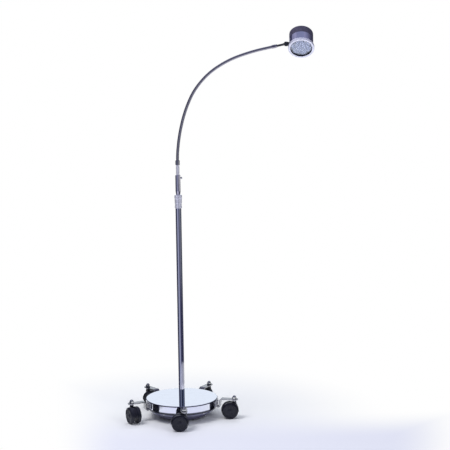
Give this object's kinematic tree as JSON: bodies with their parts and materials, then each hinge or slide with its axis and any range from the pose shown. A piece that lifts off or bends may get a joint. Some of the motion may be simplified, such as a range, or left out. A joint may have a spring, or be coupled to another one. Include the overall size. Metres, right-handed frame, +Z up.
{
  "type": "mobile examination light",
  "caption": "Mobile examination light: weighted round base on swivel casters, telescopic upright, bendable gooseneck and small tilting spot head.",
  "frame": {"origin": "the point of the floor under the upright's axis", "axes": "+Z up along the upright; +X the way the neck bends over at rest; -Y the side the lamp faces"},
  "size_m": [0.8396, 0.4867, 1.7077],
  "materials": {
    "chrome": "mirror-polished chrome plate",
    "tube_chrome": "mirror-polished chrome plate",
    "collar_chrome": "polished chrome plate",
    "socket_chrome": "polished chrome plate",
    "neck_chrome": "spiral-wound, chrome plated",
    "head_chrome": "satin chrome plate",
    "bezel_chrome": "polished chrome plate",
    "cap_nuts": "polished",
    "leg_steel": "nickel-chrome plated bar, slightly dull",
    "fasteners": "zinc plated",
    "inner_steel": "turned",
    "ballast": "dark enamel on cast iron",
    "black_plastic": "fine texture",
    "bush_plastic": "plain acetal",
    "cable": "matt sheath",
    "caster_plastic": "semi-gloss black nylon",
    "wheel_plastic": "black nylon, rubbed tread",
    "black_metal": "black, semi-gloss",
    "cap_dark": "dark violet-black, semi-gloss",
    "lens": "clear polycarbonate",
    "reflector": "vacuum-metallised, faceted",
    "board": "white solder mask on aluminium",
    "led": "silicone dome",
    "sink_alu": "extruded, natural",
    "button": "soft satin"
  },
  "bodies": {
    "base": {"base_pan": "chrome", "ballast_disc": "ballast", "legs": "leg_steel", "base_bolts": "fasteners", "caster_stems": "fasteners", "caster_cap_nuts": "cap_nuts", "pole_foot": "inner_steel", "pole_tube": "tube_chrome", "power_inlet": "black_plastic", "pole_cable": "cable", "lock_sleeve": "collar_chrome"},
    "caster_front": {"caster_hood_front": "caster_plastic", "caster_axle_front": "black_metal"},
    "wheel_a_front": {"caster_wheel_a_front": "wheel_plastic"},
    "wheel_b_front": {"caster_wheel_b_front": "wheel_plastic"},
    "caster_right": {"caster_hood_right": "caster_plastic", "caster_axle_right": "black_metal"},
    "wheel_a_right": {"caster_wheel_a_right": "wheel_plastic"},
    "wheel_b_right": {"caster_wheel_b_right": "wheel_plastic"},
    "caster_back_right": {"caster_hood_back_right": "caster_plastic", "caster_axle_back_right": "black_metal"},
    "wheel_a_back_right": {"caster_wheel_a_back_right": "wheel_plastic"},
    "wheel_b_back_right": {"caster_wheel_b_back_right": "wheel_plastic"},
    "caster_back_left": {"caster_hood_back_left": "caster_plastic", "caster_axle_back_left": "black_metal"},
    "wheel_a_back_left": {"caster_wheel_a_back_left": "wheel_plastic"},
    "wheel_b_back_left": {"caster_wheel_b_back_left": "wheel_plastic"},
    "caster_left": {"caster_hood_left": "caster_plastic", "caster_axle_left": "black_metal"},
    "wheel_a_left": {"caster_wheel_a_left": "wheel_plastic"},
    "wheel_b_left": {"caster_wheel_b_left": "wheel_plastic"},
    "lock_nut": {"lock_nut": "collar_chrome"},
    "mast": {"mast_tube": "tube_chrome", "mast_bush": "bush_plastic", "neck_socket": "socket_chrome"},
    "thumb_screw": {"thumb_screw": "fasteners"},
    "neck_1": {"neck_plug": "socket_chrome", "gooseneck_1": "neck_chrome"},
    "neck_2": {"gooseneck_2": "neck_chrome"},
    "neck_3": {"gooseneck_3": "neck_chrome"},
    "neck_4": {"gooseneck_4": "neck_chrome"},
    "neck_5": {"gooseneck_5": "neck_chrome"},
    "neck_6": {"gooseneck_6": "neck_chrome"},
    "neck_7": {"gooseneck_7": "neck_chrome"},
    "neck_8": {"gooseneck_8": "neck_chrome", "neck_end_ferrule": "neck_chrome", "arm_rod": "black_metal"},
    "knuckle": {"knuckle_fork": "black_metal", "knuckle_pin": "inner_steel", "pivot_nut": "inner_steel"},
    "head": {"head_housing": "head_chrome", "rear_cap": "cap_dark", "bezel_ring": "bezel_chrome", "lens_glass": "lens", "reflector": "reflector", "led_board": "board", "leds": "led", "heat_sink": "sink_alu", "head_screws": "inner_steel"},
    "power_button": {"power_button": "button"}
  },
  "joints": [
    {"name": "caster_swivel_front", "type": "hinge", "parent": "base", "child": "caster_front", "pos_m": [0.00894, -0.23693, 0.06], "axis": [0, 0, 1], "continuous": true},
    {"name": "wheel_spin_a_front", "type": "hinge", "parent": "caster_front", "child": "wheel_a_front", "pos_m": [-0.01056, -0.23693, 0.0355], "axis": [0, -1, 0], "continuous": true},
    {"name": "wheel_spin_b_front", "type": "hinge", "parent": "caster_front", "child": "wheel_b_front", "pos_m": [-0.01056, -0.23693, 0.0355], "axis": [0, -1, 0], "continuous": true},
    {"name": "caster_swivel_right", "type": "hinge", "parent": "base", "child": "caster_right", "pos_m": [0.23022, -0.05672, 0.06], "axis": [0, 0, 1], "continuous": true},
    {"name": "wheel_spin_a_right", "type": "hinge", "parent": "caster_right", "child": "wheel_a_right", "pos_m": [0.21072, -0.05672, 0.0355], "axis": [0, -1, 0], "continuous": true},
    {"name": "wheel_spin_b_right", "type": "hinge", "parent": "caster_right", "child": "wheel_b_right", "pos_m": [0.21072, -0.05672, 0.0355], "axis": [0, -1, 0], "continuous": true},
    {"name": "caster_swivel_back_right", "type": "hinge", "parent": "base", "child": "caster_back_right", "pos_m": [0.12508, 0.20142, 0.06], "axis": [0, 0, 1], "continuous": true},
    {"name": "wheel_spin_a_back_right", "type": "hinge", "parent": "caster_back_right", "child": "wheel_a_back_right", "pos_m": [0.10558, 0.20142, 0.0355], "axis": [0, -1, 0], "continuous": true},
    {"name": "wheel_spin_b_back_right", "type": "hinge", "parent": "caster_back_right", "child": "wheel_b_back_right", "pos_m": [0.10558, 0.20142, 0.0355], "axis": [0, -1, 0], "continuous": true},
    {"name": "caster_swivel_back_left", "type": "hinge", "parent": "base", "child": "caster_back_left", "pos_m": [-0.15291, 0.1812, 0.06], "axis": [0, 0, 1], "continuous": true},
    {"name": "wheel_spin_a_back_left", "type": "hinge", "parent": "caster_back_left", "child": "wheel_a_back_left", "pos_m": [-0.13459, 0.17453, 0.0355], "axis": [0.342, 0.9397, 0], "continuous": true},
    {"name": "wheel_spin_b_back_left", "type": "hinge", "parent": "caster_back_left", "child": "wheel_b_back_left", "pos_m": [-0.13459, 0.17453, 0.0355], "axis": [0.342, 0.9397, 0], "continuous": true},
    {"name": "caster_swivel_left", "type": "hinge", "parent": "base", "child": "caster_left", "pos_m": [-0.21959, -0.08943, 0.06], "axis": [0, 0, 1], "continuous": true},
    {"name": "wheel_spin_a_left", "type": "hinge", "parent": "caster_left", "child": "wheel_a_left", "pos_m": [-0.21135, -0.10711, 0.0355], "axis": [0.9063, 0.4226, 0], "continuous": true},
    {"name": "wheel_spin_b_left", "type": "hinge", "parent": "caster_left", "child": "wheel_b_left", "pos_m": [-0.21135, -0.10711, 0.0355], "axis": [0.9063, 0.4226, 0], "continuous": true},
    {"name": "lock_nut_turn", "type": "hinge", "parent": "base", "child": "lock_nut", "pos_m": [0, 0, 0.97], "axis": [0, 0, 1], "range_deg": [0, 270]},
    {"name": "mast_slide", "type": "slide", "parent": "base", "child": "mast", "axis": [0, 0, 1], "range_m": [0, 0.4]},
    {"name": "thumb_screw_turn", "type": "hinge", "parent": "mast", "child": "thumb_screw", "pos_m": [0.015, 0, 1.061], "axis": [1, 0, 0], "range_deg": [-270, 0]},
    {"name": "neck_swivel", "type": "hinge", "parent": "mast", "child": "neck_1", "pos_m": [0, 0, 1.05], "axis": [0, 0, 1], "range_deg": [-170, 170]},
    {"name": "neck_bend_1", "type": "hinge", "parent": "neck_1", "child": "neck_2", "pos_m": [0.00273, 0, 1.18925], "axis": [0.001, 1, 0.0007], "range_deg": [-9.6, 8]},
    {"name": "neck_side_bend", "type": "hinge", "parent": "neck_2", "child": "neck_3", "pos_m": [0.01992, 0, 1.29042], "axis": [0.9715, 0, -0.2368], "range_deg": [-18, 18]},
    {"name": "neck_bend_3", "type": "hinge", "parent": "neck_3", "child": "neck_4", "pos_m": [0.05206, 0, 1.38781], "axis": [0.001, 1, 0.0007], "range_deg": [-13.75, 11.46]},
    {"name": "neck_bend_4", "type": "hinge", "parent": "neck_4", "child": "neck_5", "pos_m": [0.10606, 0, 1.47461], "axis": [0.001, 1, 0.0007], "range_deg": [-17.59, 14.66]},
    {"name": "neck_bend_5", "type": "hinge", "parent": "neck_5", "child": "neck_6", "pos_m": [0.18399, 0, 1.54081], "axis": [0.001, 1, 0.0007], "range_deg": [-15, 18]},
    {"name": "neck_bend_6", "type": "hinge", "parent": "neck_6", "child": "neck_7", "pos_m": [0.27676, 0, 1.58433], "axis": [0.001, 1, 0.0007], "range_deg": [-9.62, 11.54]},
    {"name": "neck_bend_7", "type": "hinge", "parent": "neck_7", "child": "neck_8", "pos_m": [0.37575, 0, 1.61145], "axis": [0.001, 1, 0.0007], "range_deg": [-6.02, 7.22]},
    {"name": "head_pan", "type": "hinge", "parent": "neck_8", "child": "knuckle", "pos_m": [0.474, 0, 1.63134], "axis": [0, 0, 1], "range_deg": [-70, 70]},
    {"name": "head_tilt", "type": "hinge", "parent": "knuckle", "child": "head", "pos_m": [0.48995, -0.00127, 1.63134], "axis": [0.9968, -0.0793, 0], "range_deg": [-120, 120]},
    {"name": "button_press", "type": "slide", "parent": "head", "child": "power_button", "axis": [-0.059, -0.7408, -0.6691], "range_m": [0, 0.002], "stiffness_N_per_m": 400, "springref_m": -0.001}
  ],
  "couplings": [
    {"joint": "neck_bend_3", "follows": "neck_bend_1", "ratio": 1.43},
    {"joint": "neck_bend_4", "follows": "neck_bend_1", "ratio": 1.83},
    {"joint": "neck_bend_6", "follows": "neck_bend_5", "ratio": 0.64},
    {"joint": "neck_bend_7", "follows": "neck_bend_5", "ratio": 0.4}
  ]
}
